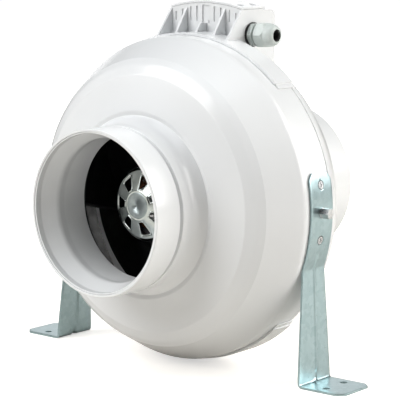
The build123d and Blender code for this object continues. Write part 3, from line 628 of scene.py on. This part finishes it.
def foot(name, side):
    """One bent sheet-steel foot with a pressed bead along its leg and a dimple in its heel."""
    made = bmesh.new()
    sheets = ([], [])
    for place, way in foot_path():
        low, high = foot_edges(place)
        line = STRAP_CENTRE + BEAD_LEAN * (place.y - BEAD_TOP) / (BEAD_TOP - BEAD_BOTTOM)
        bead_low, bead_high = line - BEAD_HALF, line + BEAD_HALF
        depths = [low + (bead_low - low) * k / SIDE_STEPS for k in range(SIDE_STEPS)]
        depths += [bead_low + (bead_high - bead_low) * k / BEAD_STEPS for k in range(BEAD_STEPS + 1)]
        depths += [bead_high + (high - bead_high) * k / SIDE_STEPS for k in range(1, SIDE_STEPS + 1)]
        below_top = min(1, max(0, (BEAD_TOP - place.y) / BEAD_RUNOUT))
        above_bottom = min(1, max(0, (place.y - BEAD_BOTTOM) / BEAD_RUNOUT))
        from_heel = (place - HEEL).length
        rows = ([], [])
        for depth in depths:
            bead = BEAD_HEIGHT * below_top * above_bottom * swell(depth - line, BEAD_SWELL)
            dimple = DIMPLE_HEIGHT * swell(depth - FOOT_CENTRE, DIMPLE_HALF) * swell(from_heel, DIMPLE_REACH)
            for row, from_middle in zip(rows, (-SHEET_HALF, SHEET_HALF)):
                point = place + way * (from_middle + bead + dimple)
                row.append(made.verts.new((side * point.x * MM, INLET_Y + depth * MM, AXIS_Z + point.y * MM)))
        sheets[0].append(rows[0])
        sheets[1].append(rows[1])
    inner, outer = sheets
    last = len(inner[0]) - 1
    for index in range(len(inner) - 1):
        for k in range(last):
            for sheet in sheets:
                made.faces.new((sheet[index][k], sheet[index][k + 1],
                                sheet[index + 1][k + 1], sheet[index + 1][k]))
        for k in (0, last):
            made.faces.new((inner[index][k], outer[index][k], outer[index + 1][k], inner[index + 1][k]))
    for index in (0, -1):
        for k in range(last):
            made.faces.new((inner[index][k], inner[index][k + 1], outer[index][k + 1], outer[index][k]))
    built = mesh_object(name, made, "zinc_sheet")
    base = 0 if side > 0 else 180
    cutters = []
    for angle in SCREW_ANGLES:
        size = SCREW_WINDOW if angle else BOLT_HOLE
        cutters.append(pin(base + side * angle, size, HOLE_INSIDE, STRAP_OUTSIDE, STRAP_CENTRE))
    for offset in (-HOLE_OFFSET, HOLE_OFFSET):
        cutters.append(upright_pin(side * HOLE_FROM_AXIS, FOOT_CENTRE + offset, HOLE_RADIUS))
    cut(built, cutters)
    crisp = built.modifiers.new("edge_rounding", "BEVEL")
    crisp.width = EDGE_ROUNDING * MM
    crisp.segments = 2
    crisp.limit_method = "ANGLE"
    crisp.angle_limit = radians(55)
    crisp.harden_normals = False
    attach(built, "casing")
    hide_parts(name)


foot("right_foot", 1)
foot("left_foot", -1)


# ---------------------------------------------------------------- stage, light and camera

def direction(azimuth, elevation):
    """The way from the object to a point seen at an azimuth from -Y towards +X, and an elevation."""
    turn, lift = radians(azimuth), radians(elevation)
    return Vector((sin(turn) * cos(lift), -cos(turn) * cos(lift), sin(lift)))


def softbox(name, azimuth, elevation, distance, size, power, colour):
    """A large square light that points at the fan."""
    data = bpy.data.lights.new(name, "AREA")
    data.shape = "SQUARE"
    data.size = size
    data.energy = power
    data.color = colour
    light = bpy.data.objects.new(name, data)
    bpy.context.scene.collection.objects.link(light)
    back = direction(azimuth, elevation)
    light.location = FAN_CENTRE + back * distance
    light.rotation_mode = "QUATERNION"
    light.rotation_quaternion = (-back).to_track_quat("-Z", "Y")


def pale_floor():
    """A white table top that glows more and more towards its edges, so that it fades into white."""
    made = material("pale_floor", Roughness=0.6)
    shader = made.node_tree.nodes["Principled BSDF"]
    shader.inputs["Base Color"].default_value = (0.80, 0.765, 0.71, 1)
    shader.inputs["Emission Color"].default_value = (1, 1, 1, 1)
    nearness = texture(made, "ShaderNodeTexGradient", "Fac", (1 / FLOOR_GLOW_END,) * 3,
                       gradient_type="SPHERICAL")
    vary(made, "Emission Strength", nearness, FLOOR_EDGE_GLOW, FLOOR_GLOW,
         0.0, 1 - FLOOR_GLOW_START / FLOOR_GLOW_END)
    tree = made.node_tree
    rays, seen = tree.nodes.new("ShaderNodeLightPath"), tree.nodes.new("ShaderNodeMath")
    seen.operation = "MULTIPLY"
    glow = shader.inputs["Emission Strength"]
    tree.links.new(glow.links[0].from_socket, seen.inputs[0])
    tree.links.new(rays.outputs["Is Camera Ray"], seen.inputs[1])
    tree.links.new(seen.outputs["Value"], glow)
    return made


FAN_CENTRE = (cad_low + cad_high) / 2
FLOOR_GLOW = 0.55
FLOOR_EDGE_GLOW = 1.0
FLOOR_GLOW_START = 0.5
FLOOR_GLOW_END = 2.2
FLOOR_SIZE = 40.0
floor_mesh = bpy.data.meshes.new("floor")
half = FLOOR_SIZE / 2
floor_corners = [(-half, -half, 0), (half, -half, 0), (half, half, 0), (-half, half, 0)]
floor_mesh.from_pydata(floor_corners, [], [(0, 1, 2, 3)])
floor = bpy.data.objects.new("floor", floor_mesh)
bpy.context.scene.collection.objects.link(floor)
floor.data.materials.append(pale_floor())

# The world: nearly dark as a light, but white where the camera sees it
WORLD_LIGHT = 0.01
WORLD_SEEN = 1.0
world = bpy.data.worlds.new("studio")
world.use_nodes = True
tree = world.node_tree
dim, bright = tree.nodes["Background"], tree.nodes.new("ShaderNodeBackground")
dim.inputs["Strength"].default_value = WORLD_LIGHT
bright.inputs["Strength"].default_value = WORLD_SEEN
rays, choice = tree.nodes.new("ShaderNodeLightPath"), tree.nodes.new("ShaderNodeMixShader")
tree.links.new(rays.outputs["Is Camera Ray"], choice.inputs["Fac"])
tree.links.new(dim.outputs["Background"], choice.inputs[1])
tree.links.new(bright.outputs["Background"], choice.inputs[2])
tree.links.new(choice.outputs["Shader"], tree.nodes["World Output"].inputs["Surface"])
for shade in (dim, bright):
    shade.inputs["Color"].default_value = (1, 1, 1, 1)
bpy.context.scene.world = world

LIGHT_DISTANCE = 2.4
COOL, WARM, PLAIN = (0.92, 0.97, 1.0), (1.0, 0.99, 0.97), (1, 1, 1)
for name, azimuth, elevation, size, power, colour in (
        ("left_light", -27, 38, 1.8, 56, PLAIN),
        ("right_light", 124, 26, 1.8, 64, WARM),
        ("low_light", 96, 0, 0.7, 3, PLAIN),
        ("back_light", 219, 15, 1.4, 7, PLAIN),
        ("top_light", -5, 74, 1.8, 18, COOL)):
    softbox(name, azimuth, elevation, LIGHT_DISTANCE, size, power, colour)

CAMERA_AZIMUTH = 39.51
CAMERA_ELEVATION = 8.94
CAMERA_DISTANCE = 1.6135
CAMERA_TARGET = Vector((0.0013, 0.0017, 0.1487))
CAMERA_LENS = 154.8
camera_data = bpy.data.cameras.new("camera")
camera_data.sensor_width = 36
camera_data.lens = CAMERA_LENS
camera_data.clip_end = 100
camera = bpy.data.objects.new("camera", camera_data)
bpy.context.scene.collection.objects.link(camera)
back = direction(CAMERA_AZIMUTH, CAMERA_ELEVATION)
camera.location = CAMERA_TARGET + back * CAMERA_DISTANCE
camera.rotation_mode = "QUATERNION"
camera.rotation_quaternion = (-back).to_track_quat("-Z", "Y")
bpy.context.scene.camera = camera
bpy.context.scene.view_settings.view_transform = "Standard"
